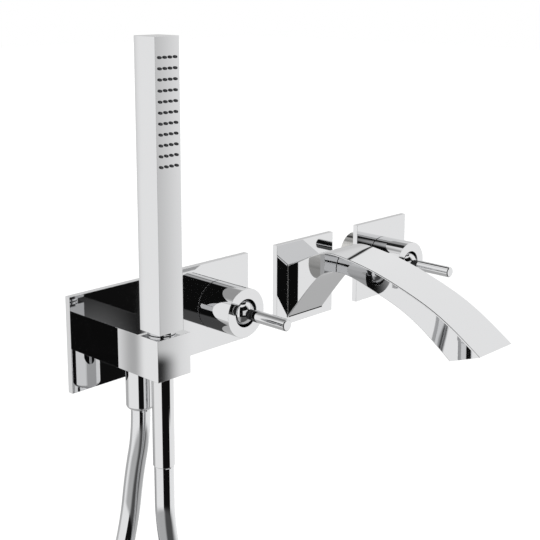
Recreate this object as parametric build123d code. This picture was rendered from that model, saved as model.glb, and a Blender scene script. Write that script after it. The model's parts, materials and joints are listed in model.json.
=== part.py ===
from build123d import *
import os
from math import cos, pi, radians, sin, tan

# Four-hole wall bath set. +Z is up, the wall is the plane y = 0 and the room is at -Y.
# The origin is the centre of the spout's wall plate, on the wall. Millimetres.

# Wall plates, equally spaced along the wall
PLATE = 75.0                 # side of a square plate
PLATE_T = 5.0                # how far a plate stands off the wall
PITCH = 111.0                # from one plate's centre to the next
ARM_X = -2 * PITCH
DIVERTER_X = -PITCH
MIXER_X = PITCH
FRONT = -PLATE_T             # y of the plates' front faces

# Valves
SHROUD_R = 20.5
SHROUD_FRONT = -40.1         # y of the ring face round the lever
SHROUD_HOLE_R = 11.85
SHROUD_BASE = FRONT - 0.5    # it stands on a thin rubber ring
BODY_R = 19.7                # in-wall body
BODY_DEPTH = 30.4
SLEEVE_R = 18.0              # front sleeve of the body, inside the shroud
SLEEVE_FRONT = -24.0
SLEEVE_BORE_R = 15.6
CHAMBER_Y = 10.0             # floor of the cartridge chamber
PIVOT_Y = -33.5              # centre of the lever's ball
DOME_R = 11.2
LEVER_R = 4.9
LEVER_TIP = -86.0
LEVER_ROOT = -50.5
LEVER_SOCKET = 12.0          # how far the stem reaches into the lever
STEM_R = 3.0
HUB_R = 13.4                 # rotor
FORK_R = 12.45               # reach of the rotor's fork, where the pivot pin ends
PIN_R = 1.5
BALL_WALL = 1.6
COLLAR_R = 4.3
STEM_END_Y = -12.0           # centre of the stem's inner ball
STEM_BALL_R = 2.8
PORT_R = 5.0                 # M10x1 supply ports
PORT_DEPTH = 10.0
PORT_RING_R = 10.5
WAY_SCALE = 0.75             # ring of the cartridge's waterways, as a share of the ports' ring
WAY_R = 3.0
CARTRIDGE_FRONT = -20.0
CUP_R = 13.45                # inside of the cartridge's housing
CUP_FLOOR = 2.0
DISC_R = 13.4                # fixed ceramic disc
DISC_FRONT = -2.0            # where the two ceramic discs meet
SLIDE_R = 6.4                # moving disc and its carrier
SLIDE_JOINT = -5.0           # where the moving disc meets its carrier
SLIDE_FRONT = -14.0
GROOVE = (-14.0, -12.0)      # y of the sleeve's ring groove
GROOVE_DEPTH = 1.2
SHROUD_LIP = 3.0             # thickness of the shroud's front ring
SHROUD_BORE_R = 16.5
SHROUD_SEAT_Y = -26.0        # the shroud slips over the sleeve up to here

# Spout
SPOUT_W = 47.0
SPOUT_WALL = 3.2
SPOUT_EDGE_R = 1.2
SPOUT_TOP = [                # each curve runs through (reach from the plate, height)
    (0, 17.2), (23, 28.4), (45, 36.6), (60, 36.0),
    (94, 30.1), (129, 19.5), (157, 8.3), (201, -18.8),
]
SPOUT_UNDER = [
    (0, -31.2), (12, -15.6), (28, 4.6), (42, 17.4),
    (52, 20.8), (94, 13.7), (129, 0.8), (173.4, -28.7),
]
CHANNEL_TOP = [              # waterway
    (16, 10.0), (23, 25.0), (45, 33.4), (60, 32.8),
    (94, 26.9), (129, 16.3), (196.8, -20.3), (203, -27),
]
CHANNEL_UNDER = [
    (16, -5.0), (28, 9.4), (42, 21.2), (52, 24.0),
    (94, 16.9), (129, 4.2), (177.6, -27.2), (182, -34),
]
CHANNEL_INLET_R = 6.0
THREAD_R = 10.48             # G1/2 male thread, outside
NIPPLE_DEPTH = 25.0          # how far the wall nipples reach into the wall
NIPPLE_FRONT = -17.0
NIPPLE_BORE_R = 7.5
FLANGE_R = 14.0              # flange that the spout's grub screw grips
FLANGE_FRONT = -9.2
GRUB_R = 2.0
GRUB_Y = -7.2

# Shower arm and its hose outlet
ARM_SIDE = 31.0
ARM_FRONT = -78.1
HANDSET_Y = -64.5            # axis of the handset and its hose
OUTLET_Y = -38.5             # axis of the fixed hose end
OUTLET_R = 8.33              # G3/8 male thread, outside
OUTLET_Z = (-28.0, -6.0)
LINER_R = 10.0
WASHER_T = 1.2
VALVE_R = 6.2                # non-return valve, outside
VALVE_Z = (-18.0, -6.0)
VALVE_STEM_R = 1.2

# Handset
HANDSET = 22.0               # side of its square section
HANDSET_BOTTOM = 17.9
HANDSET_TOP = 228.5
HANDSET_WALL = 1.8
HANDSET_FLOOR = 21.5         # top of its solid foot
NOZZLE_COLUMNS = 4
NOZZLE_ROWS = 11
NOZZLE_COLUMN_PITCH = 4.7
NOZZLE_ROW_PITCH = 7.53
NOZZLE_TOP_ROW = HANDSET_TOP - 14.3
NOZZLE_R = 1.1
NOZZLE_REACH = 1.7           # how far the nozzles stand out
MAT_HALF = 8.8
MAT_T = 1.5
NOZZLE_FIELD = (NOZZLE_TOP_ROW - (NOZZLE_ROWS - 1) * NOZZLE_ROW_PITCH, NOZZLE_TOP_ROW)
INLET_R = 6.58               # G1/4 male thread, outside
TUBE_R = 3.5                 # water tube inside
TUBE_BORE_R = 2.4
TUBE_FOOT = 26.0

# Hose
HOSE_R = 7.35
HOSE_BORE_R = 4.5
FERRULE_R = 8.1
FERRULE_BOTTOM = -87.0
NUT_R = 10.8
NUT_BOTTOM = -49.0
NUT_SEAT = -31.0             # shoulder inside the nut
TAIL_TOP = -29.5
COIL_R = 78.5                # to the middle of the hose
COIL_Z = -300.0
COIL_TURNS = 620 / 360       # the hose leaves the coil heading for its two ends
COIL_START_Y = -24.0
RUN_GAP = 0.05               # running clearance between turning parts
EDGE_R = 0.2                 # broken edges of the square pieces

PARTS = {}


def add(name, shape):
    PARTS[name] = shape


def block(x_range, y_range, z_range):
    size = [b - a for a, b in (x_range, y_range, z_range)]
    middle = [(a + b) / 2 for a, b in (x_range, y_range, z_range)]
    return Pos(*middle) * Box(*size)


def rod_y(radius, y_range, x=0.0, z=0.0):
    low, high = y_range
    return Pos(x, (low + high) / 2, z) * Rot(90, 0, 0) * Cylinder(radius, high - low)


def rod_z(radius, z_range, x, y):
    low, high = z_range
    return Pos(x, y, (low + high) / 2) * Cylinder(radius, high - low)


def ring_y(outer, inner, y_range, x=0.0, z=0.0):
    return rod_y(outer, y_range, x, z) - rod_y(inner, y_range, x, z)


def ring_z(outer, inner, z_range, x, y):
    return rod_z(outer, z_range, x, y) - rod_z(inner, z_range, x, y)


def ball(radius, x, y):
    return Pos(x, y, 0) * Rot(90, 0, 0) * Sphere(radius)


def o_ring_y(radius, section, x, y, z=0.0):
    return Pos(x, y, z) * Rot(90, 0, 0) * Torus(radius, section)


# ---------------------------------------------------------------- wall plates
def wall_plate(x, hole_r):
    """A pressed square plate, open at the back, with a rim that meets the wall."""
    rim = 2.0
    face = 2.0
    half = PLATE / 2
    plate = block((x - half, x + half), (FRONT, 0), (-half, half))
    plate = fillet(plate.edges().group_by(Axis.Y)[0], EDGE_R)
    inner = half - rim
    plate -= block((x - inner, x + inner), (FRONT + face, 0), (-inner, inner))
    return plate - rod_y(hole_r, (FRONT, 0), x)


def plate_seal(x):
    outer = PLATE / 2 - 2.2
    inner = outer - 5.0
    depth = (FRONT + 2.0, 0)
    frame = block((x - outer, x + outer), depth, (-outer, outer))
    return frame - block((x - inner, x + inner), depth, (-inner, inner))


def make_plates():
    add("shower_arm_plate", wall_plate(ARM_X, THREAD_R + 0.3))
    add("diverter_plate", wall_plate(DIVERTER_X, SLEEVE_R + 0.2))
    add("spout_plate", wall_plate(0.0, THREAD_R + 0.3))
    add("mixer_plate", wall_plate(MIXER_X, SLEEVE_R + 0.2))
    centres = (ARM_X, DIVERTER_X, 0.0, MIXER_X)
    add("plate_seals", Compound(children=[plate_seal(x) for x in centres]))


# --------------------------------------------------------------------- valves
def ring_places(x, radius):
    """Three places (x, z) evenly round the valve's axis, the first straight up."""
    angles = (90, 210, 330)
    return [(x + radius * cos(radians(a)), radius * sin(radians(a))) for a in angles]


def port_places(x):
    return ring_places(x, PORT_RING_R)


def way_places(x):
    return ring_places(x, PORT_RING_R * WAY_SCALE)


def valve_body(x):
    """In-wall body with three supply ports, and the sleeve that reaches through the plate."""
    body = rod_y(BODY_R, (0, BODY_DEPTH), x) + rod_y(SLEEVE_R, (SLEEVE_FRONT, 0), x)
    body -= rod_y(SLEEVE_BORE_R, (SLEEVE_FRONT, CHAMBER_Y), x)
    body -= ring_y(SLEEVE_R, SLEEVE_R - GROOVE_DEPTH, GROOVE, x)
    for port_x, port_z in port_places(x):
        body -= rod_y(PORT_R, (BODY_DEPTH - PORT_DEPTH, BODY_DEPTH), port_x, port_z)
        body -= rod_y(PORT_R - 1.5, (CHAMBER_Y, BODY_DEPTH), port_x, port_z)
    return body


def cartridge_housing(x):
    """Cup with three waterways in its floor."""
    outer = SLEEVE_BORE_R - 0.1
    housing = rod_y(outer, (CARTRIDGE_FRONT, CHAMBER_Y - 1.0), x)
    housing -= rod_y(CUP_R, (CARTRIDGE_FRONT, CUP_FLOOR), x)
    for way_x, way_z in way_places(x):
        housing -= rod_y(WAY_R, (CUP_FLOOR, CHAMBER_Y), way_x, way_z)
    return housing


def fixed_disc(x):
    depth = (DISC_FRONT, CUP_FLOOR)
    disc = rod_y(DISC_R, depth, x)
    for way_x, way_z in way_places(x):
        disc -= rod_y(WAY_R - 0.2, depth, way_x, way_z)
    return disc


def moving_disc(x):
    """Ceramic disc with a shallow mixing hollow that faces the fixed disc."""
    disc = rod_y(SLIDE_R, (SLIDE_JOINT, DISC_FRONT - RUN_GAP), x)
    hollow_depth = 1.6
    return disc - rod_y(SLIDE_R - 2.2, (DISC_FRONT - hollow_depth, DISC_FRONT), x)


def disc_carrier(x):
    """Plastic carrier, with the socket that the stem's inner ball works in."""
    carrier = rod_y(SLIDE_R, (SLIDE_FRONT, SLIDE_JOINT), x)
    socket_r = STEM_BALL_R + 0.5
    socket_depth = 5.4
    return carrier - rod_y(socket_r, (SLIDE_FRONT, SLIDE_FRONT + socket_depth), x)


def rotor(x):
    """Ring that turns in the housing, with a fork that holds the lever's pivot pin."""
    hub_front = CARTRIDGE_FRONT + 0.4
    hub = ring_y(HUB_R, 10.0, (hub_front, hub_front + 5.0), x)
    arm_y = (PIVOT_Y - 3.0, hub_front + 0.6)
    arm_z = (-2.5, 2.5)
    inside = DOME_R + 0.15
    arms = block((x - FORK_R, x + FORK_R), arm_y, arm_z)
    arms -= block((x - inside, x + inside), arm_y, arm_z)
    return hub + arms - pivot_hole(x, PIN_R + RUN_GAP)


def pivot_hole(x, radius):
    return Pos(x, PIVOT_Y, 0) * Rot(0, 90, 0) * Cylinder(radius, 2 * SHROUD_BORE_R)


def pivot_pin(x):
    return Pos(x, PIVOT_Y, 0) * Rot(0, 90, 0) * Cylinder(PIN_R, 2 * FORK_R - 0.4)


def lever_stem(x):
    neck = 4.0
    stem = rod_y(STEM_R, (LEVER_ROOT - LEVER_SOCKET, STEM_END_Y - neck), x)
    stem += rod_y(STEM_R - 1.0, (STEM_END_Y - neck, STEM_END_Y), x)
    stem += ball(5.0, x, PIVOT_Y)
    stem += ball(STEM_BALL_R, x, STEM_END_Y)
    return stem - pivot_hole(x, PIN_R)


def lever_dome(x):
    """Hollow ball cap, open towards the wall."""
    beyond = DOME_R + 1.0
    dome = ball(DOME_R, x, PIVOT_Y) - ball(DOME_R - BALL_WALL, x, PIVOT_Y)
    dome -= rod_y(beyond, (PIVOT_Y + 4.0, PIVOT_Y + beyond), x)
    dome -= rod_y(STEM_R, (PIVOT_Y - beyond, PIVOT_Y), x)
    return dome - pivot_hole(x, PIN_R)


def lever_collar(x):
    return ring_y(COLLAR_R, STEM_R, (LEVER_ROOT, PIVOT_Y - DOME_R + 0.1), x)


def lever_rod(x):
    """The lever itself, a plain round pin screwed onto the stem."""
    pin = rod_y(LEVER_R, (LEVER_TIP, LEVER_ROOT), x)
    pin = chamfer(pin.edges().group_by(Axis.Y)[0], 0.7)
    pin = chamfer(pin.edges().group_by(Axis.Y)[-1], 0.4)
    return pin - rod_y(STEM_R, (LEVER_ROOT - LEVER_SOCKET, LEVER_ROOT), x)


def shroud(x):
    """Trim cylinder that slips over the sleeve and frames the ball."""
    trim = rod_y(SHROUD_R, (SHROUD_FRONT, SHROUD_BASE), x)
    trim = chamfer(trim.edges().group_by(Axis.Y)[0], 0.3)
    trim -= rod_y(SLEEVE_R + 0.1, (SHROUD_SEAT_Y, FRONT), x)
    trim -= rod_y(SHROUD_BORE_R, (SHROUD_FRONT + SHROUD_LIP, FRONT), x)
    return trim - rod_y(SHROUD_HOLE_R, (SHROUD_FRONT, FRONT), x)


def valve_o_rings(x):
    """Three port seals under the cartridge and the shroud's friction ring."""
    section = 0.5
    seals = [o_ring_y(3.6, section, way_x, CHAMBER_Y - section, way_z) for way_x, way_z in way_places(x)]
    seals.append(ring_y(SLEEVE_R + 0.05, SLEEVE_R - GROOVE_DEPTH, GROOVE, x))
    return seals


def shroud_seal(x):
    """Ring that shows as a thin dark line between the shroud and its plate."""
    return ring_y(SHROUD_R - 0.15, SLEEVE_R + 0.1, (SHROUD_BASE, FRONT), x)


def make_valve(name, x):
    add(name + "_body", valve_body(x))
    add(name + "_cartridge", cartridge_housing(x))
    add(name + "_fixed_disc", fixed_disc(x))
    add(name + "_moving_disc", moving_disc(x))
    add(name + "_disc_carrier", disc_carrier(x))
    add(name + "_rotor", rotor(x))
    nut_y = (SLEEVE_FRONT, CARTRIDGE_FRONT)
    add(name + "_retaining_nut", ring_y(SLEEVE_BORE_R, HUB_R - 0.35, nut_y, x))
    add(name + "_pivot_pin", pivot_pin(x))
    add(name + "_stem", lever_stem(x))
    add(name + "_ball", lever_dome(x))
    add(name + "_collar", lever_collar(x))
    add(name + "_lever", lever_rod(x))
    add(name + "_shroud", shroud(x))


# ---------------------------------------------------------------------- spout
def side_solid(top, under, width):
    """A solid of the given width, centred on x = 0, between two curves of (reach, height)."""
    upper, lower = [[(0, FRONT - s, z) for s, z in curve] for curve in (top, under)]
    edges = [Spline(*upper), Line(upper[-1], lower[-1]), Spline(*lower), Line(lower[0], upper[0])]
    outline = Face(Wire(edges))
    return Pos(-width / 2, 0, 0) * extrude(outline, amount=width, dir=(1, 0, 0))


def tip_plane():
    """Plane of the spout's mouth, facing the way the water leaves."""
    front, back = [Vector(0, FRONT - s, z) for s, z in (SPOUT_TOP[-1], SPOUT_UNDER[-1])]
    outwards = Vector(1, 0, 0).cross(front - back)
    return Plane(origin=(front + back) / 2, x_dir=(1, 0, 0), z_dir=outwards)


def spout_shell():
    body = side_solid(SPOUT_TOP, SPOUT_UNDER, SPOUT_W)
    long_edges = [e for e in body.edges() if e.length > 60]
    body = fillet(long_edges, SPOUT_EDGE_R)
    body -= side_solid(CHANNEL_TOP, CHANNEL_UNDER, SPOUT_W - 2 * SPOUT_WALL)
    root_cut = rod_y(THREAD_R + 0.02, (NIPPLE_FRONT - 1.4, FRONT))
    root_cut += rod_y(FLANGE_R + 0.2, (FLANGE_FRONT, FRONT))
    root_cut += rod_z(GRUB_R, (-35, -8), 0, GRUB_Y)
    body -= root_cut
    return body - rod_y(CHANNEL_INLET_R, (FRONT - 18, NIPPLE_FRONT - 1))


def stream_former():
    """Insert that fills the mouth and straightens the flow through a grid of cells."""
    plug = side_solid(CHANNEL_TOP, CHANNEL_UNDER, SPOUT_W - 2 * SPOUT_WALL)
    recess = 1.2
    depth = 8.0
    plug &= tip_plane() * Pos(0, 0, -recess - depth / 2) * Box(60, 60, depth)
    cells = [Pos(x, y, 0) * Box(3.6, 3.6, 60) for x, y in grid_places(8, 3, 4.7, 4.9)]
    for cell in cells:
        plug -= tip_plane() * cell
    return plug


def grid_places(columns, rows, column_pitch, row_pitch):
    first_x = -(columns - 1) / 2 * column_pitch
    first_y = -(rows - 1) / 2 * row_pitch
    x_places = [first_x + i * column_pitch for i in range(columns)]
    y_places = [first_y + j * row_pitch for j in range(rows)]
    return [(x, y) for x in x_places for y in y_places]


def wall_nipple(x, flanged):
    """G1/2 nipple from the pipe in the wall to the fitting in front of it."""
    front_from = FRONT
    nipple = rod_y(THREAD_R, (0, NIPPLE_DEPTH), x) + rod_y(THREAD_R - 0.5, (FRONT, 0), x)
    if flanged:
        front_from = FLANGE_FRONT
        nipple += rod_y(FLANGE_R, (FLANGE_FRONT, FRONT), x)
    nipple += rod_y(THREAD_R, (NIPPLE_FRONT, front_from), x)
    return nipple - rod_y(NIPPLE_BORE_R, (NIPPLE_FRONT, NIPPLE_DEPTH), x)


def make_spout():
    add("spout_shell", spout_shell())
    add("spout_stream_former", stream_former())
    add("spout_nipple", wall_nipple(0.0, True))
    grub_z = (-26.0, -FLANGE_R - 0.05)
    add("spout_grub_screw", rod_z(GRUB_R - 0.05, grub_z, 0, GRUB_Y))


# ----------------------------------------------------- shower arm and its outlet
def shower_arm():
    half = ARM_SIDE / 2
    arm = block((ARM_X - half, ARM_X + half), (ARM_FRONT, FRONT), (-half, half))
    arm = fillet(arm.edges().filter_by(Axis.Y) + arm.edges().group_by(Axis.Y)[0], EDGE_R)
    arm -= rod_y(THREAD_R + 0.02, (NIPPLE_FRONT - WASHER_T, FRONT), ARM_X)
    arm -= rod_y(HOSE_BORE_R, (OUTLET_Y, FRONT), ARM_X)
    arm -= rod_z(OUTLET_R + 0.02, (-half, 6.0), ARM_X, OUTLET_Y)
    return arm - rod_z(LINER_R, (-half, half), ARM_X, HANDSET_Y)


def hose_outlet():
    """G3/8 nipple under the arm, with the seat of the non-return valve in its bore."""
    nipple = rod_z(OUTLET_R, OUTLET_Z, ARM_X, OUTLET_Y)
    nipple -= rod_z(VALVE_R - 1.2, (OUTLET_Z[0], VALVE_Z[0]), ARM_X, OUTLET_Y)
    return nipple - rod_z(VALVE_R, VALVE_Z, ARM_X, OUTLET_Y)


def check_valve_body():
    """Tube with a seat ring above and a bridge below that guides the poppet's stem."""
    low, high = VALVE_Z
    bridge = (low, low + 1.2)
    body = ring_z(VALVE_R, VALVE_R - 1.2, VALVE_Z, ARM_X, OUTLET_Y)
    body += ring_z(VALVE_R - 0.8, 3.0, (high - 1.6, high), ARM_X, OUTLET_Y)
    body += ring_z(VALVE_R - 0.8, VALVE_STEM_R + RUN_GAP, bridge, ARM_X, OUTLET_Y)
    for angle in (0, 120, 240):
        x = ARM_X + 3.1 * cos(radians(angle))
        y = OUTLET_Y + 3.1 * sin(radians(angle))
        body -= rod_z(1.2, bridge, x, y)
    return body


def check_valve_poppet():
    head = rod_z(4.0, (-9.3, -7.9), ARM_X, OUTLET_Y)
    return head + rod_z(VALVE_STEM_R, (-18.6, -9.3), ARM_X, OUTLET_Y)


def check_valve_spring():
    path = Helix(pitch=1.6, height=6.4, radius=2.4)
    start = Plane(origin=path @ 0, z_dir=path % 0)
    wire = sweep(start * Circle(0.25), path=path, is_frenet=True)
    return Pos(ARM_X, OUTLET_Y, -16.3) * wire


def hose_nut():
    nut = rod_z(NUT_R, (NUT_BOTTOM, -ARM_SIDE / 2), ARM_X, OUTLET_Y)
    nut = fillet(nut.edges().group_by(Axis.Z)[0], 3.2)
    nut -= rod_z(OUTLET_R + 0.02, (NUT_SEAT, -ARM_SIDE / 2), ARM_X, OUTLET_Y)
    return nut - rod_z(HOSE_R, (NUT_BOTTOM, NUT_SEAT), ARM_X, OUTLET_Y)


def hose_fixed_tail():
    tail = rod_z(HOSE_R - 0.05, (NUT_BOTTOM, NUT_SEAT), ARM_X, OUTLET_Y)
    tail += rod_z(OUTLET_R - 0.05, (NUT_SEAT, TAIL_TOP), ARM_X, OUTLET_Y)
    return tail - rod_z(HOSE_BORE_R, (NUT_BOTTOM, TAIL_TOP), ARM_X, OUTLET_Y)


def washers():
    """Washers in front of the wall nipples and between the hose tail and its outlet."""
    washer_y = (NIPPLE_FRONT - WASHER_T, NIPPLE_FRONT)
    rings = [ring_y(THREAD_R - 0.2, NIPPLE_BORE_R, washer_y, x) for x in (ARM_X, 0.0)]
    rings.append(ring_z(OUTLET_R - 0.1, HOSE_BORE_R, (TAIL_TOP, OUTLET_Z[0]), ARM_X, OUTLET_Y))
    return rings


def make_arm():
    half = ARM_SIDE / 2
    add("shower_arm", shower_arm())
    add("shower_arm_nipple", wall_nipple(ARM_X, False))
    add("holder_liner", ring_z(LINER_R, FERRULE_R + RUN_GAP, (-half, half), ARM_X, HANDSET_Y))
    add("hose_outlet_nipple", hose_outlet())
    add("check_valve_body", check_valve_body())
    add("check_valve_poppet", check_valve_poppet())
    add("check_valve_spring", check_valve_spring())
    add("hose_nut", hose_nut())
    add("hose_fixed_tail", hose_fixed_tail())
    add("fibre_washers", Compound(children=washers()))


# -------------------------------------------------------------------- handset
def nozzle_places():
    """Centres (x, z) of the spray nozzles."""
    last_row = NOZZLE_TOP_ROW - (NOZZLE_ROWS - 1) * NOZZLE_ROW_PITCH
    middle = (NOZZLE_TOP_ROW + last_row) / 2
    places = grid_places(NOZZLE_COLUMNS, NOZZLE_ROWS, NOZZLE_COLUMN_PITCH, NOZZLE_ROW_PITCH)
    return [(ARM_X + x, middle + z) for x, z in places]


def column(half, z_range):
    """Square bar on the handset's axis."""
    return block((ARM_X - half, ARM_X + half), (HANDSET_Y - half, HANDSET_Y + half), z_range)


def handset_body():
    half = HANDSET / 2
    inner = half - HANDSET_WALL
    body = column(half, (HANDSET_BOTTOM, HANDSET_TOP))
    body = fillet(body.edges().filter_by(Axis.Z) + body.edges().group_by(Axis.Z)[-1], EDGE_R)
    body -= column(inner, (HANDSET_FLOOR, HANDSET_TOP))
    body -= rod_z(INLET_R, (HANDSET_BOTTOM, HANDSET_FLOOR), ARM_X, HANDSET_Y)
    front = HANDSET_Y - half
    for x, z in nozzle_places():
        body -= rod_y(NOZZLE_R, (front, front + HANDSET_WALL), x, z)
    return body


def nozzle_mat():
    """Silicone mat inside the front wall; its soft nozzles stand out through the holes."""
    back = HANDSET_Y - HANDSET / 2 + HANDSET_WALL
    low, high = NOZZLE_FIELD
    mat = block((ARM_X - MAT_HALF, ARM_X + MAT_HALF), (back, back + MAT_T), (low - 5, high + 5))
    for x, z in nozzle_places():
        mat += rod_y(NOZZLE_R, (back - HANDSET_WALL - NOZZLE_REACH, back), x, z)
    return mat


def spray_diffuser():
    """Tray behind the mat that spreads the water over the nozzles."""
    wall = 1.5
    front = HANDSET_Y - HANDSET / 2 + HANDSET_WALL + MAT_T
    back = HANDSET_Y + 5.0
    inner = MAT_HALF - wall
    low, high = NOZZLE_FIELD
    tray = block((ARM_X - MAT_HALF, ARM_X + MAT_HALF), (front, back), (low - 12, high + 5))
    tray -= block((ARM_X - inner, ARM_X + inner), (front, back - wall), (low - 7, high + 5 - wall))
    return tray - rod_z(TUBE_R, (low - 12, low), ARM_X, HANDSET_Y)


def handset_inlet():
    """Threaded inlet below the handset's floor, with a socket for the water tube above."""
    flange_top = HANDSET_FLOOR + 2.5
    socket = (TUBE_FOOT, TUBE_FOOT + 7.0)
    inlet = rod_z(INLET_R, (3.0, HANDSET_FLOOR), ARM_X, HANDSET_Y)
    inlet += rod_z(8.5, (HANDSET_FLOOR, flange_top), ARM_X, HANDSET_Y)
    inlet += rod_z(5.0, (flange_top, socket[1]), ARM_X, HANDSET_Y)
    inlet -= rod_z(HOSE_BORE_R, (3.0, HANDSET_FLOOR + 0.5), ARM_X, HANDSET_Y)
    inlet -= rod_z(TUBE_R, socket, ARM_X, HANDSET_Y)
    return inlet - rod_z(TUBE_BORE_R, (HANDSET_FLOOR + 0.5, TUBE_FOOT), ARM_X, HANDSET_Y)


def make_handset():
    add("handset_body", handset_body())
    add("handset_end_cap", column(HANDSET / 2 - HANDSET_WALL, (HANDSET_TOP - 4.0, HANDSET_TOP)))
    add("nozzle_mat", nozzle_mat())
    add("spray_diffuser", spray_diffuser())
    add("handset_inlet", handset_inlet())
    tube_z = (TUBE_FOOT, NOZZLE_FIELD[0] - 7.5)
    add("handset_water_tube", ring_z(TUBE_R, TUBE_BORE_R, tube_z, ARM_X, HANDSET_Y))
    collar_z = (ARM_SIDE / 2 + 0.3, HANDSET_BOTTOM)
    add("handset_collar", ring_z(10.4, FERRULE_R, collar_z, ARM_X, HANDSET_Y))
    ferrule_z = (FERRULE_BOTTOM, HANDSET_BOTTOM)
    add("hose_ferrule", ring_z(FERRULE_R, INLET_R + 0.02, ferrule_z, ARM_X, HANDSET_Y))
    tail_z = (FERRULE_BOTTOM, 1.6)
    add("hose_swivel_tail", ring_z(INLET_R - 0.03, HOSE_BORE_R, tail_z, ARM_X, HANDSET_Y))


# ----------------------------------------------------------------------- hose
def coil_point(angle, y):
    """Point on the middle of the hose where it meets the coil, angle from +X."""
    x = ARM_X + COIL_R * cos(radians(angle))
    return (x, y, COIL_Z + COIL_R * sin(radians(angle)))


def bend_radii(points):
    """Largest tangent arc that two runs leave room for, at each inner point."""
    radii = []
    for before, here, after in zip(points, points[1:], points[2:]):
        run_in = Vector(*here) - Vector(*before)
        run_out = Vector(*after) - Vector(*here)
        turn = radians(run_in.get_angle(run_out))
        radii.append(0.45 * min(run_in.length, run_out.length) / tan(turn / 2))
    return radii


def hose_tube(name, points):
    radii = bend_radii(points)
    path = FilletPolyline(*points, radius=radii)
    tube = sweep(Plane(origin=points[0], z_dir=path % 0) * Circle(HOSE_R), path=path)
    expected = pi * HOSE_R ** 2 * path.length
    print(name, "radii", [round(r) for r in radii], "length", round(path.length, 1))
    print(name, "volume", round(tube.volume), "section times length", round(expected))
    return tube


def make_hose():
    strand = 15.0
    end_y = COIL_START_Y - COIL_TURNS * strand
    fixed_run = [
        (ARM_X, OUTLET_Y, NUT_BOTTOM),
        (ARM_X, OUTLET_Y, -70.0),
        (ARM_X, -28.8, -106.0),
        (ARM_X, -21.5, -150.0),
        (ARM_X - 16.0, -22.5, -197.0),
        coil_point(140, COIL_START_Y),
    ]
    handset_run = [
        (ARM_X, HANDSET_Y, FERRULE_BOTTOM),
        (ARM_X, HANDSET_Y, -135.0),
        (ARM_X + 16.0, -58.5, -197.0),
        coil_point(40, end_y),
    ]
    add("hose_fixed_run", hose_tube("fixed run", fixed_run))
    add("hose_handset_run", hose_tube("handset run", handset_run))
    coil_y = (end_y - HOSE_R, COIL_START_Y + HOSE_R)
    coil = ring_y(COIL_R + HOSE_R, COIL_R - HOSE_R, coil_y, ARM_X, COIL_Z)
    add("hose_coil", coil)
    bottom = COIL_Z - COIL_R
    band = 1.5
    tie = block(
        (ARM_X - 6, ARM_X + 6),
        (coil_y[0] - band, coil_y[1] + band),
        (bottom - HOSE_R - band, bottom + HOSE_R + band),
    )
    add("hose_tie", tie - coil)


if __name__ == "__main__":
    make_plates()
    make_valve("diverter", DIVERTER_X)
    make_valve("mixer", MIXER_X)
    valves = (DIVERTER_X, MIXER_X)
    add("valve_o_rings", Compound(children=[ring for x in valves for ring in valve_o_rings(x)]))
    add("shroud_seals", Compound(children=[shroud_seal(x) for x in valves]))
    make_spout()
    make_arm()
    make_handset()
    make_hose()
    os.makedirs("parts", exist_ok=True)
    for name, shape in PARTS.items():
        export_step(shape, "parts/" + name + ".step")
    print(len(PARTS), "nodes written")
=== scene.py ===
import json
from math import cos, pi, radians, sin

import bmesh
import bpy
import numpy as np
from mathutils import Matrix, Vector


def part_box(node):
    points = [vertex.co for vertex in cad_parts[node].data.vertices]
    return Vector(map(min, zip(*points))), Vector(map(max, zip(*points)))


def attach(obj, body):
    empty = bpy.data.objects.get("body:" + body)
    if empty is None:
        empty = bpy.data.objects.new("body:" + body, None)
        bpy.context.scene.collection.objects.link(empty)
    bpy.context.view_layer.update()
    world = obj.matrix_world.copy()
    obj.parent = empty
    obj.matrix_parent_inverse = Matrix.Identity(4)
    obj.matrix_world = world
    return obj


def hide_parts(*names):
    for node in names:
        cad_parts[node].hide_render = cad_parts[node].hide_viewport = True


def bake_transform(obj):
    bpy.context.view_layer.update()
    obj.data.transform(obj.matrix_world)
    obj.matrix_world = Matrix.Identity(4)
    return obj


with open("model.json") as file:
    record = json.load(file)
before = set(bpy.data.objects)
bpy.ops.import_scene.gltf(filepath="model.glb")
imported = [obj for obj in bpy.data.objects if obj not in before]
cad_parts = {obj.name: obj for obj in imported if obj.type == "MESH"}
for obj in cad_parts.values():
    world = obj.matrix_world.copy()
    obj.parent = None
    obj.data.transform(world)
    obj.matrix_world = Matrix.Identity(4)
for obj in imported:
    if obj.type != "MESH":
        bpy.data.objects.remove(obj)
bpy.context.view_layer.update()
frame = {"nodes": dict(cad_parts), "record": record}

# Places shared with the CAD model, in metres: the wall is y = 0, the room is at -Y, +Z is up.
ARM_X, DIVERTER_X, MIXER_X = -0.222, -0.111, 0.111
HANDSET_Y, OUTLET_Y, FRONT = -0.0645, -0.0385, -0.005
HOSE_R = 0.00735
BODY_OF = {n: b for b, nodes in frame["record"]["behaviour"]["bodies"].items() for n in nodes}


# ------------------------------------------------------------------ camera
PITCH, HEADING = 11.74, -45.40


def make_camera():
    """The photograph's viewing angle, with its vertical shift shared between pitch and shift."""
    data = bpy.data.cameras.new("camera")
    data.sensor_width = 36.0
    data.lens = 71.94
    data.shift_x = 0.0310
    data.shift_y = -0.12
    data.clip_start = 0.05
    data.clip_end = 30.0
    camera = bpy.data.objects.new("camera", data)
    camera.location = (-0.7068, -0.6357, 0.2649)
    camera.rotation_euler = (radians(90 - PITCH), 0, radians(HEADING))
    bpy.context.scene.collection.objects.link(camera)
    bpy.context.scene.camera = camera


# -------------------------------------------------------------- node helpers
def node(tree, kind, inputs=None, **settings):
    made = tree.nodes.new(kind)
    for name, value in settings.items():
        setattr(made, name, value)
    for key, value in (inputs or {}).items():
        if isinstance(value, bpy.types.NodeSocket):
            tree.links.new(value, made.inputs[key])
        else:
            made.inputs[key].default_value = value
    return made


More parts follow.
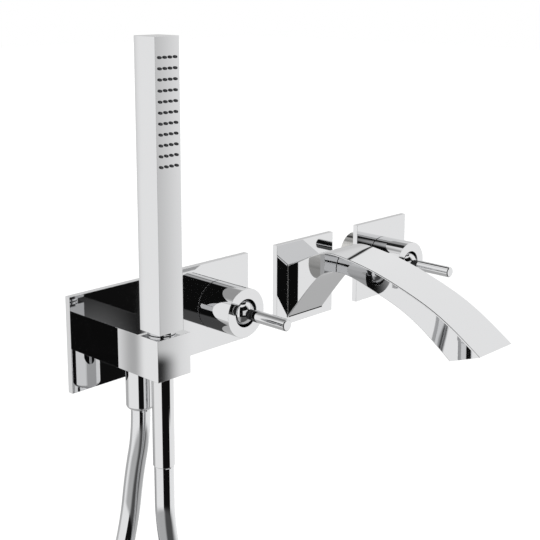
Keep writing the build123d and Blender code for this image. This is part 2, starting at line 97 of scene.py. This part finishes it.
def calc(tree, operation, *values, clamp=False):
    made = node(tree, "ShaderNodeMath", dict(enumerate(values)), operation=operation)
    made.use_clamp = clamp
    return made.outputs[0]


def material(
    name, color, roughness, metallic=0.0, grain=400.0, spread=0.0, rough_spread=0.0, bump=0.0, **sockets
):
    """Principled material whose colour and roughness wander a little with a fine noise."""
    made = bpy.data.materials.new(name)
    made.use_nodes = True
    made.diffuse_color = (*color, 1)
    tree = made.node_tree
    shader = tree.nodes["Principled BSDF"]
    shader.inputs["Metallic"].default_value = metallic
    for key, value in sockets.items():
        shader.inputs[key.replace("_", " ")].default_value = value
    place = node(tree, "ShaderNodeTexCoord")
    wander = {"Vector": place.outputs["Object"], "Scale": grain, "Detail": 3.0}
    noise = node(tree, "ShaderNodeTexNoise", wander)
    tones = node(tree, "ShaderNodeMixRGB", {0: noise.outputs["Fac"]})
    tones.inputs[1].default_value = (*[c * (1 - spread) for c in color], 1)
    tones.inputs[2].default_value = (*[min(1, c * (1 + spread)) for c in color], 1)
    tree.links.new(tones.outputs[0], shader.inputs["Base Color"])
    rough = node(tree, "ShaderNodeMapRange", {"Value": noise.outputs["Fac"]})
    rough.inputs["To Min"].default_value = max(0.0, roughness - rough_spread)
    rough.inputs["To Max"].default_value = roughness + rough_spread
    tree.links.new(rough.outputs[0], shader.inputs["Roughness"])
    if bump:
        height = {"Height": noise.outputs["Fac"], "Strength": bump, "Distance": 0.0002}
        relief = node(tree, "ShaderNodeBump", height)
        tree.links.new(relief.outputs[0], shader.inputs["Normal"])
    return made


BRAID_AROUND, BRAID_PER_METRE = 24.0, 420.0


def hose_material():
    """Silver hose: a fine crossed braid seen through a glossy clear sleeve."""
    made = material(
        "silver_hose", (0.73, 0.735, 0.745), 0.05, metallic=1.0, rough_spread=0.01, Coat_Weight=0.3
    )
    tree = made.node_tree
    place = node(tree, "ShaderNodeUVMap", uv_map="hose")
    split = node(tree, "ShaderNodeSeparateXYZ", {0: place.outputs[0]})
    around, along = split.outputs[0], split.outputs[1]
    strands = []
    for side in (1.0, -1.0):
        twist = calc(tree, "MULTIPLY", around, side * BRAID_AROUND)
        phase = calc(tree, "ADD", calc(tree, "MULTIPLY", along, BRAID_PER_METRE), twist)
        strands.append(calc(tree, "SINE", calc(tree, "MULTIPLY", phase, 2 * pi)))
    braid = calc(tree, "MULTIPLY", *strands)
    level = node(tree, "ShaderNodeMapRange", {"Value": braid, "From Min": -1.0, "From Max": 1.0})
    tones = node(tree, "ShaderNodeMixRGB", {0: level.outputs[0]})
    tones.inputs[1].default_value = (0.70, 0.705, 0.715, 1)
    tones.inputs[2].default_value = (0.76, 0.765, 0.775, 1)
    tree.links.new(tones.outputs[0], tree.nodes["Principled BSDF"].inputs["Base Color"])
    return made


def make_materials():
    return {
        "polished_chrome": material(
            "polished_chrome", (0.735, 0.738, 0.745), 0.022,
            metallic=1.0, grain=60.0, spread=0.004, rough_spread=0.012,
        ),
        "raw_brass": material(
            "raw_brass", (0.74, 0.55, 0.24), 0.3,
            metallic=1.0, grain=900.0, spread=0.08, rough_spread=0.08, bump=0.2,
        ),
        "nickel_plate": material(
            "nickel_plate", (0.60, 0.595, 0.58), 0.12,
            metallic=1.0, grain=700.0, spread=0.03, rough_spread=0.05,
        ),
        "stainless_steel": material(
            "stainless_steel", (0.58, 0.58, 0.57), 0.24,
            metallic=1.0, grain=1500.0, spread=0.05, rough_spread=0.08,
        ),
        "alumina_ceramic": material(
            "alumina_ceramic", (0.86, 0.85, 0.80), 0.12, grain=700.0, spread=0.03
        ),
        "valve_plastic": material(
            "valve_plastic", (0.12, 0.125, 0.135), 0.42,
            grain=2500.0, spread=0.06, rough_spread=0.06, bump=0.25,
        ),
        "black_rubber": material(
            "black_rubber", (0.006, 0.006, 0.007), 0.34,
            grain=2800.0, spread=0.2, rough_spread=0.08, bump=0.2,
        ),
        "nozzle_silicone": material(
            "nozzle_silicone", (0.035, 0.036, 0.04), 0.38,
            grain=2200.0, spread=0.15, rough_spread=0.08, bump=0.15,
        ),
        "silver_hose": hose_material(),
    }


# -------------------------------------------------------------- mesh helpers
def piece(name, vertices, faces, like, replaced, slot, sharp=32.0):
    """A smooth-shaded mesh that rides on the body of the CAD node it is like, if one is named."""
    mesh = bpy.data.meshes.new(name)
    mesh.from_pydata([tuple(v) for v in vertices], [], faces)
    clean = bmesh.new()
    clean.from_mesh(mesh)
    bmesh.ops.remove_doubles(clean, verts=clean.verts, dist=1e-6)
    bmesh.ops.recalc_face_normals(clean, faces=clean.faces)
    clean.to_mesh(mesh)
    clean.free()
    for polygon in mesh.polygons:
        polygon.use_smooth = True
    mesh.set_sharp_from_angle(angle=radians(sharp))
    mesh.materials.append(MATERIALS[slot])
    made = bpy.data.objects.new(name, mesh)
    bpy.context.scene.collection.objects.link(made)
    if like:
        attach(made, BODY_OF[like])
    if replaced:
        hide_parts(*replaced)
    return made


def soften(made, width, segments=3, angle=32.0):
    """Small rounded edges, so that a polished corner catches the light."""
    bevel = made.modifiers.new("edges", "BEVEL")
    bevel.width = width
    bevel.segments = segments
    bevel.limit_method = "ANGLE"
    bevel.angle_limit = radians(angle)
    bevel.harden_normals = True
    return made


def flatten_normals(made):
    """Large faces keep their own flat reflections beside small rounded edges."""
    weighted = made.modifiers.new("normals", "WEIGHTED_NORMAL")
    weighted.mode = "FACE_AREA"
    weighted.weight = 100
    weighted.keep_sharp = True


def lathe(name, profile, axis, centre, node_name, slot, segments=128, width=0.00025):
    """Turned piece: profile is a closed loop of (distance along the axis, radius)."""
    vertices, faces, rings = [], [], []
    for along, radius in profile:
        if radius == 0:
            rings.append([len(vertices)] * segments)
            vertices.append(turned(axis, centre, along, 0, 0))
            continue
        rings.append([len(vertices) + i for i in range(segments)])
        for i in range(segments):
            vertices.append(turned(axis, centre, along, radius, 2 * pi * i / segments))
    for ring, following in zip(rings, rings[1:] + rings[:1]):
        for i in range(segments):
            j = (i + 1) % segments
            face = []
            for corner in (ring[i], ring[j], following[j], following[i]):
                if corner not in face:
                    face.append(corner)
            if len(face) > 2:
                faces.append(face)
    return soften(piece(name, vertices, faces, node_name, [node_name], slot), width)


def turned(axis, centre, along, radius, angle):
    if axis == "y":
        return (centre[0] + radius * cos(angle), along, centre[1] + radius * sin(angle))
    return (centre[0] + radius * cos(angle), centre[1] + radius * sin(angle), along)


def mm(profile):
    return [(a / 1000, b / 1000) for a, b in profile]


# --------------------------------------------------------------------- hose
COIL_R, COIL_Z, COIL_FROM, COIL_SWEEP, COIL_CORNERS = 0.0785, -0.300, 140.0, 620.0, 21
COIL_Y = (-0.024, -0.04983)


def coil_corners():
    """Control points round the put-away coil, each outside the corner that it rounds."""
    step = COIL_SWEEP / COIL_CORNERS
    corners = []
    for i in range(COIL_CORNERS):
        angle = radians(COIL_FROM + (i + 0.5) * step)
        radius = COIL_R / cos(radians(step / 2))
        y = COIL_Y[0] + (COIL_Y[1] - COIL_Y[0]) * (i + 0.5) / COIL_CORNERS
        corners.append((ARM_X + radius * cos(angle), y, COIL_Z + radius * sin(angle)))
    return corners


HOSE_ROUTE = [
    (ARM_X, OUTLET_Y, -0.049),
    (ARM_X, OUTLET_Y, -0.070),
    (ARM_X, -0.0288, -0.106),
    (ARM_X, -0.0215, -0.150),
    (ARM_X - 0.016, -0.0225, -0.197),
    *coil_corners(),
    (ARM_X + 0.016, -0.0585, -0.197),
    (ARM_X, HANDSET_Y, -0.135),
    (ARM_X, HANDSET_Y, -0.099),
    (ARM_X, HANDSET_Y, -0.087),
]


def smooth_line(points):
    """Points along the NURBS spline that has these control points."""
    data = bpy.data.curves.new("line", "CURVE")
    data.dimensions = "3D"
    data.resolution_u = 24
    spline = data.splines.new("NURBS")
    spline.points.add(len(points) - 1)
    for point, place in zip(spline.points, points):
        point.co = (*place, 1)
    spline.order_u = 3
    spline.use_endpoint_u = True
    made = bpy.data.objects.new("line", data)
    bpy.context.scene.collection.objects.link(made)
    bpy.context.view_layer.update()
    evaluated = made.evaluated_get(bpy.context.evaluated_depsgraph_get())
    mesh = bpy.data.meshes.new_from_object(evaluated)
    line = [v.co.copy() for v in mesh.vertices]
    bpy.data.objects.remove(made)
    bpy.data.meshes.remove(mesh)
    bpy.data.curves.remove(data)
    return line


def make_hose():
    sides = 40
    line = smooth_line(HOSE_ROUTE)
    tangents = [(b - a).normalized() for a, b in zip([line[0]] + line[:-1], line[1:] + [line[-1]])]
    across = Vector((1, 0, 0))
    vertices, faces, along = [], [], [0.0]
    for i, (place, tangent) in enumerate(zip(line, tangents)):
        across = (across - tangent * across.dot(tangent)).normalized()
        other = tangent.cross(across)
        for k in range(sides):
            angle = 2 * pi * k / sides
            vertices.append(place + (across * cos(angle) + other * sin(angle)) * HOSE_R)
        if i:
            along.append(along[-1] + (place - line[i - 1]).length)
            first = (i - 1) * sides
            for k in range(sides):
                n = (k + 1) % sides
                faces.append((first + k, first + n, first + sides + n, first + sides + k))
    faces.append(tuple(range(sides))[::-1])
    faces.append(tuple(range(len(vertices) - sides, len(vertices))))
    mesh = bpy.data.meshes.new("hose")
    mesh.from_pydata([tuple(v) for v in vertices], [], faces)
    lengths = mesh.uv_layers.new(name="hose")
    for polygon in mesh.polygons:
        polygon.use_smooth = len(polygon.vertices) == 4
        columns = [v % sides for v in polygon.vertices]
        wraps = max(columns) - min(columns) > 1
        for loop, vertex, column in zip(polygon.loop_indices, polygon.vertices, columns):
            turn = 1.0 if wraps and column == 0 else column / sides
            lengths.data[loop].uv = (turn, along[vertex // sides])
    mesh.materials.append(MATERIALS["silver_hose"])
    hose = bpy.data.objects.new("hose", mesh)
    bpy.context.scene.collection.objects.link(hose)
    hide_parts("hose_fixed_run", "hose_handset_run", "hose_coil")
    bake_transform(hose)
    tie = make_tie()


def make_tie():
    """Rubber strap that hugs the hose's two strands at the bottom of the coil."""
    low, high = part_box("hose_tie")
    middle = [(a + b) / 2 for a, b in zip(low, high)]
    half_x = (high[0] - low[0]) / 2
    half_strands, thickness, slack, steps = 0.0075, 0.0012, 0.00025, 10
    outer = HOSE_R + slack + thickness
    vertices, faces = [], []
    loop = []
    for k, side in enumerate((1, -1, -1, 1)):  # quarter turns, each about its own strand
        for i in range(steps + 1):
            angle = pi / 2 * (k + i / steps)
            loop.append((side * half_strands, cos(angle), sin(angle)))
    inner = outer - thickness
    section = [(-half_x, outer), (half_x, outer), (half_x, inner), (-half_x, inner)]
    for y, across, up in loop:
        for x, reach in section:
            vertices.append((middle[0] + x, middle[1] + y + across * reach, middle[2] + up * reach))
    count = len(loop)
    for i in range(count):
        j = (i + 1) % count
        for k in range(4):
            n = (k + 1) % 4
            faces.append((4 * i + k, 4 * j + k, 4 * j + n, 4 * i + n))
    return soften(piece("tie", vertices, faces, "hose_tie", ["hose_tie"], "black_rubber"), 0.0003)


# ------------------------------------------------------------------- valves
BALL_STEPS = 48


def make_valve(name, x):
    """Visible turned pieces of one joystick valve, as (distance from the wall, radius) in mm."""
    shroud = [
        (-5.5, 20.5), (-40.1, 20.5), (-40.1, 11.85), (-37.1, 11.85),
        (-37.1, 16.5), (-26, 16.5), (-26, 18.1), (-5.5, 18.1),
    ]
    lathe(name + "_trim", mm(shroud), "y", (x, 0), name + "_shroud", "polished_chrome", 192, 0.0001)
    outer, inner, centre = 11.2, 9.6, -33.5
    ball = []
    for i in range(BALL_STEPS + 1):
        angle = radians(-20.9 + (74.5 + 20.9) * i / BALL_STEPS)
        ball.append((centre - outer * sin(angle), outer * cos(angle)))
    for i in range(BALL_STEPS + 1):
        angle = radians(71.8 - (71.8 + 24.6) * i / BALL_STEPS)
        ball.append((centre - inner * sin(angle), inner * cos(angle)))
    lathe(name + "_ball_cap", mm(ball), "y", (x, 0), name + "_ball", "polished_chrome", 128, 0.0001)
    boot = [
        (-44.6, 3.0), (-44.6, 4.3), (-46.6, 4.3), (-46.9, 4.1), (-47.2, 4.3), (-50.5, 4.3), (-50.5, 3.0),
    ]
    lathe(name + "_boot", mm(boot), "y", (x, 0), name + "_collar", "black_rubber", 96, 0.00012)
    rod = [
        (-86, 0), (-86, 4.2), (-85.3, 4.9), (-50.9, 4.9),
        (-50.5, 4.5), (-50.5, 3.0), (-62.5, 3.0), (-62.5, 0),
    ]
    lathe(name + "_handle", mm(rod), "y", (x, 0), name + "_lever", "polished_chrome", 96, 0.00015)


# -------------------------------------------------------------------- spout
SPOUT_HALF = 0.0235
SPOUT_EDGE = 0.0012
SPOUT_WALL = 0.0032
FOOT = 0.0008
# The spout's two long curves, as (distance from its plate, height) in mm.
SPOUT_TOP = [
    (0, 17.2), (23, 28.4), (45, 36.6), (60, 36.0), (94, 30.1), (129, 19.5), (157, 8.3), (201, -18.8),
]
SPOUT_UNDER = [
    (0, -31.2), (12, -15.6), (28, 4.6), (42, 17.4), (52, 20.8), (94, 13.7), (129, 0.8), (173.4, -28.7),
]


def cubic(points, count):
    """Evenly spaced points on the natural cubic through these points."""
    points = np.array(points, float)
    knots = np.r_[0, np.cumsum(np.linalg.norm(np.diff(points, axis=0), axis=1))]
    gaps = np.diff(knots)
    size = len(points)
    system = np.eye(size)
    right = np.zeros((size, 2))
    for i in range(1, size - 1):
        system[i, i - 1:i + 2] = gaps[i - 1], 2 * (gaps[i - 1] + gaps[i]), gaps[i]
        slope = (points[i + 1] - points[i]) / gaps[i] - (points[i] - points[i - 1]) / gaps[i - 1]
        right[i] = 6 * slope
    bend = np.linalg.solve(system, right)
    line = []
    for t in np.linspace(0, knots[-1], count):
        i = min(int(np.searchsorted(knots, t, "right")) - 1, size - 2)
        a, b, gap = knots[i + 1] - t, t - knots[i], gaps[i]
        curve = (bend[i] * a ** 3 + bend[i + 1] * b ** 3) / (6 * gap)
        curve += (points[i] / gap - bend[i] * gap / 6) * a + (
            points[i + 1] / gap - bend[i + 1] * gap / 6
        ) * b
        line.append(curve)
    return np.array(line) / 1000


def make_spout():
    """Arched spout with a rounded section, hollow at its mouth, and the gasket at its root."""
    stations, mouth, arc = 160, 14, 8
    top, under = cubic(SPOUT_TOP, stations), cubic(SPOUT_UNDER, stations)
    vertices, faces = [], []

    def ring(i, inset, edge):
        first = len(vertices)
        up = top[i] - under[i]
        up = up / np.linalg.norm(up)
        half = SPOUT_HALF - inset
        high, low = top[i] - up * inset, under[i] + up * inset
        for side, base, way in ((-1, high, -up), (1, high, -up), (1, low, up), (-1, low, up)):
            forwards = side * (1 if base is high else -1) > 0
            for turn in range(arc + 1):
                angle = pi / 2 * (turn if forwards else arc - turn) / arc
                x = side * (half - edge + edge * sin(angle))
                reach, z = base + way * edge * (1 - cos(angle))
                vertices.append((x, FRONT - max(reach, FOOT), z))
        return list(range(first, first + 4 * (arc + 1)))

    def join(a, b):
        for k in range(len(a)):
            n = (k + 1) % len(a)
            faces.append((a[k], a[n], b[n], b[k]))

    rings = [ring(i, 0, SPOUT_EDGE) for i in range(stations)]
    for a, b in zip(rings, rings[1:]):
        join(a, b)
    inner = [ring(i, SPOUT_WALL, SPOUT_EDGE / 2) for i in range(stations - 1, stations - 1 - mouth, -1)]
    join(rings[-1], inner[0])
    for a, b in zip(inner, inner[1:]):
        join(a, b)
    faces.append(tuple(rings[0]))
    faces.append(tuple(inner[-1]))
    spout = piece("spout", vertices, faces, "spout_shell", ["spout_shell"], "polished_chrome", 40.0)
    flatten_normals(spout)
    make_foot(top[0], under[0])


def make_foot(top, under):
    """Satin gasket that closes the joint between the spout's root and its plate."""
    half, inset = SPOUT_HALF + 0.0001, 0.004
    outline = [(-half, under[1]), (half, under[1]), (half, top[1]), (-half, top[1])]
    opening = [
        (x - inset * (1 if x > 0 else -1), z + inset * (1 if z == under[1] else -1)) for x, z in outline
    ]
    vertices = [(x, y, z) for y in (FRONT - FOOT, FRONT) for loop in (outline, opening) for x, z in loop]
    faces = []
    for k in range(4):
        n = (k + 1) % 4
        faces += [
            (k, n, n + 4, k + 4),
            (k + 8, k + 12, n + 12, n + 8),
            (k, k + 8, n + 8, n),
            (k + 4, n + 4, n + 12, k + 12),
        ]
    foot = piece("spout_gasket", vertices, faces, "spout_shell", [], "nickel_plate")
    soften(foot, 0.0001)


# ---------------------------------------------------------- arm and handset
def make_fittings():
    """The hose's nut, its ferrule and the handset's collar, as (height, radius) in mm."""
    nose_r, nose_steps = 3.2, 10
    nut = [(-15.5, 8.5), (-15.5, 10.8), (-46.4, 10.8)]
    for i in range(1, nose_steps + 1):
        angle = pi / 2 * i / nose_steps
        nut.append((-45.8 - nose_r * sin(angle), 7.6 + nose_r * cos(angle)))
    nut += [(-49.0, 7.4), (-31.0, 7.4), (-31.0, 8.5)]
    outlet, inlet = (ARM_X, OUTLET_Y), (ARM_X, HANDSET_Y)
    lathe("hose_nut_body", mm(nut), "z", outlet, "hose_nut", "polished_chrome", 128, 0.0002)
    ferrule = [(17.9, 6.6), (17.9, 8.1), (-86.6, 8.1), (-87.0, 7.7), (-87.0, 6.6)]
    lathe("ferrule", mm(ferrule), "z", inlet, "hose_ferrule", "polished_chrome", 128, 0.0001)
    collar = [(15.8, 8.1), (15.8, 10.4), (17.9, 10.4), (17.9, 8.1)]
    lathe("swivel_collar", mm(collar), "z", inlet, "handset_collar", "polished_chrome", 128, 0.0003)


def make_spring():
    """Spring of the non-return valve between its bridge and the poppet; it is drawn at one fixed length,
    though the real spring is squeezed as the poppet opens.
    """
    coil_r, wire_r, sides, steps, turns = 0.0024, 0.00025, 10, 112, 4
    low, high = -0.0163, -0.0099
    vertices, faces = [], []
    for i in range(steps + 1):
        angle = 2 * pi * turns * i / steps
        z = low + (high - low) * i / steps
        for k in range(sides):
            around = 2 * pi * k / sides
            radius = coil_r + wire_r * cos(around)
            x, y = ARM_X + radius * cos(angle), OUTLET_Y + radius * sin(angle)
            vertices.append((x, y, z + wire_r * sin(around)))
            if i:
                first, n = (i - 1) * sides, (k + 1) % sides
                faces.append((first + k, first + n, first + sides + n, first + sides + k))
    faces.append(tuple(range(sides))[::-1])
    faces.append(tuple(range(steps * sides, (steps + 1) * sides)))
    spring = piece(
        "return_spring", vertices, faces, None, ["check_valve_spring"], "stainless_steel", 60.0
    )
    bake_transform(spring)


def make_nozzles():
    """Silicone mat behind the handset's front wall, and its soft nozzles that stand out."""
    low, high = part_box("nozzle_mat")
    columns, rows, column_pitch, row_pitch, top_row = 4, 11, 0.0047, 0.00753, 0.2142
    sides, front = 24, low[1]
    mat_front, mat_back = -0.0737, -0.0722
    vertices, faces = [], []
    for x in (low[0], high[0]):
        for y in (mat_front, mat_back):
            for z in (low[2], high[2]):
                vertices.append((x, y, z))
    faces += [(0, 1, 3, 2), (4, 6, 7, 5), (0, 4, 5, 1), (2, 3, 7, 6), (0, 2, 6, 4), (1, 5, 7, 3)]
    # One nozzle from its root to the bottom of its hole, as (y in metres, radius in mm).
    bore = [
        (mat_front, 1.09), (-0.0758, 1.06), (front + 0.0003, 0.92), (front + 0.00008, 0.84),
        (front, 0.68), (front, 0.36), (front + 0.0009, 0.3),
    ]
    for column in range(columns):
        for row in range(rows):
            x = ARM_X + (column - (columns - 1) / 2) * column_pitch
            z = top_row - row * row_pitch
            rings = []
            for y, radius in bore:
                rings.append([len(vertices) + k for k in range(sides)])
                for k in range(sides):
                    angle = 2 * pi * k / sides
                    vertices.append((x + radius / 1000 * cos(angle), y, z + radius / 1000 * sin(angle)))
            for a, b in zip(rings, rings[1:]):
                for k in range(sides):
                    n = (k + 1) % sides
                    faces.append((a[k], a[n], b[n], b[k]))
            faces.append(tuple(rings[-1]))
            faces.append(tuple(rings[0]))
    piece("nozzles", vertices, faces, "nozzle_mat", ["nozzle_mat"], "nozzle_silicone", 40.0)


# ---------------------------------------------------------------- CAD nodes
def finish_nodes():
    """Each CAD node takes the material of its slot."""
    slots = {s["node"]: s["material_slot"] for s in frame["record"]["subparts"]}
    for name, made in frame["nodes"].items():
        made.data.materials.clear()
        made.data.materials.append(MATERIALS[slots[name]])


# ------------------------------------------------------------------- studio
DARK, BLACK_FLAG, WHITE = 0.02, 0.03, 1.0
HORIZON = (-27, -34)  # degrees of elevation over which the walls give way to the floor
CEILING = (50, 56)  # and to the white ceiling


def make_world():
    """White softboxes and black flags round the set, for glossy rays; all else sees plain white.

    Azimuth is in degrees from -Y towards +X, and height is in degrees above level.
    """
    world = bpy.data.worlds.new("studio")
    bpy.context.scene.world = world
    world.use_nodes = True
    tree = world.node_tree
    place = node(tree, "ShaderNodeTexCoord")
    split = node(tree, "ShaderNodeSeparateXYZ", {0: place.outputs["Generated"]})
    x, y, z = split.outputs
    azimuth = calc(tree, "ARCTAN2", x, calc(tree, "MULTIPLY", y, -1.0))
    degrees = calc(tree, "MULTIPLY", azimuth, 180 / pi)
    height = calc(tree, "MULTIPLY", calc(tree, "ARCSINE", z), 180 / pi)

    def edge(value, start, end):
        """0 before start, 1 past end."""
        limits = {0: value, 1: start, 2: end}
        return node(tree, "ShaderNodeMapRange", limits, interpolation_type="SMOOTHSTEP").outputs[0]

    def band(value, start, end, soft):
        """1 from start to end, with soft borders inside."""
        return calc(tree, "MULTIPLY", edge(value, start, start + soft), edge(value, end, end - soft))

    def steps(value, first, changes):
        """Grey level along value: first, then each (start, end, level) in turn."""
        grey = first
        for start, end, level in changes:
            border = edge(value, start, end)
            grey = node(tree, "ShaderNodeMix", {0: border, 2: grey, 3: level}).outputs[0]
        return grey

    def blend(factor, a, b):
        return node(tree, "ShaderNodeMix", {0: factor, 2: a, 3: b}).outputs[0]

    walls = steps(degrees, 0.5, [
        (-152, -148, 0.85), (-142.2, -141.3, 0.5), (-141.2, -140.6, 1.0), (-54, -52, 0.006),
        (39.1, 39.6, 0.62), (39.6, 42.2, 1.0), (120, 146, 0.62),
    ])
    fade = calc(tree, "MULTIPLY", band(degrees, 29.0, 39.6, 3.0), edge(height, 15.0, 24.0))
    walls = blend(fade, walls, 0.6)
    corner = calc(tree, "MULTIPLY", band(degrees, 38.0, 41.4, 1.2), band(height, -22.2, -19.2, 0.9))
    walls = blend(corner, walls, BLACK_FLAG)
    hollow = calc(tree, "MULTIPLY", band(degrees, 24.0, 41.0, 1.0), edge(height, -22.2, -23.5))
    walls = blend(hollow, walls, WHITE)
    front = calc(tree, "MULTIPLY", band(degrees, -28.0, 26.0, 7.0), band(height, -18.5, 22.0, 4.0))
    walls = blend(front, walls, 0.8)
    back = steps(height, 0.42, [
        (-32, -12, 0.6), (-2, 6, 0.68), (12, 24, 0.85), (28, 36, 0.38), (52, 62, 1.0),
    ])
    back = blend(band(degrees, 124.1, 125.1, 0.3), back, BLACK_FLAG)
    behind = calc(tree, "MAXIMUM", edge(degrees, 124.3, 124.6), edge(degrees, -153.0, -157.0))
    floor = steps(degrees, 0.5, [(-60, -30, 0.09), (25, 60, 0.53), (150, 180, 0.5)])
    gap = calc(tree, "MULTIPLY", band(degrees, 110.0, 178.0, 5.0), band(height, 46.0, 72.0, 3.0))
    up = {0: place.outputs["Generated"], 1: (0.25, 0.05, 0.967)}
    overhead = node(tree, "ShaderNodeVectorMath", up)
    overhead.operation = "DOT_PRODUCT"
    gap = calc(tree, "MAXIMUM", gap, edge(overhead.outputs["Value"], 0.885, 0.905))

    level = blend(behind, walls, back)
    level = blend(edge(height, *HORIZON), level, floor)
    level = blend(edge(height, *CEILING), level, WHITE)
    level = blend(gap, level, DARK)
    reflected = node(tree, "ShaderNodeBackground", {"Color": level, "Strength": 1.0})
    plain = node(tree, "ShaderNodeBackground", {"Color": (1, 1, 1, 1), "Strength": 1.0})
    rays = node(tree, "ShaderNodeLightPath")
    shaders = {0: rays.outputs["Is Glossy Ray"], 1: plain.outputs[0], 2: reflected.outputs[0]}
    mix = node(tree, "ShaderNodeMixShader", shaders)
    tree.links.new(mix.outputs[0], tree.nodes["World Output"].inputs["Surface"])


def make_floor():
    """Plain pale floor, which the chrome doesn't mirror."""
    size, z = 12.0, -0.62
    mesh = bpy.data.meshes.new("floor")
    corners = [(-size, -size, z), (size, -size, z), (size, size, z), (-size, size, z)]
    mesh.from_pydata(corners, [], [(0, 1, 2, 3)])
    pale = bpy.data.materials.new("pale_floor")
    pale.use_nodes = True
    shader = pale.node_tree.nodes["Principled BSDF"]
    shader.inputs["Base Color"].default_value = (0.9, 0.9, 0.9, 1)
    shader.inputs["Roughness"].default_value = 0.9
    shader.inputs["Specular IOR Level"].default_value = 0.0
    shader.inputs["Emission Color"].default_value = (1, 1, 1, 1)
    shader.inputs["Emission Strength"].default_value = 0.2
    mesh.materials.append(pale)
    floor = bpy.data.objects.new("floor", mesh)
    bpy.context.scene.collection.objects.link(floor)
    floor.visible_glossy = False


make_camera()
MATERIALS = make_materials()
make_hose()
for valve, valve_x in (("diverter", DIVERTER_X), ("mixer", MIXER_X)):
    make_valve(valve, valve_x)
make_spout()
make_fittings()
make_spring()
make_nozzles()
finish_nodes()
make_world()
make_floor()
bpy.context.scene.view_settings.view_transform = "Standard"
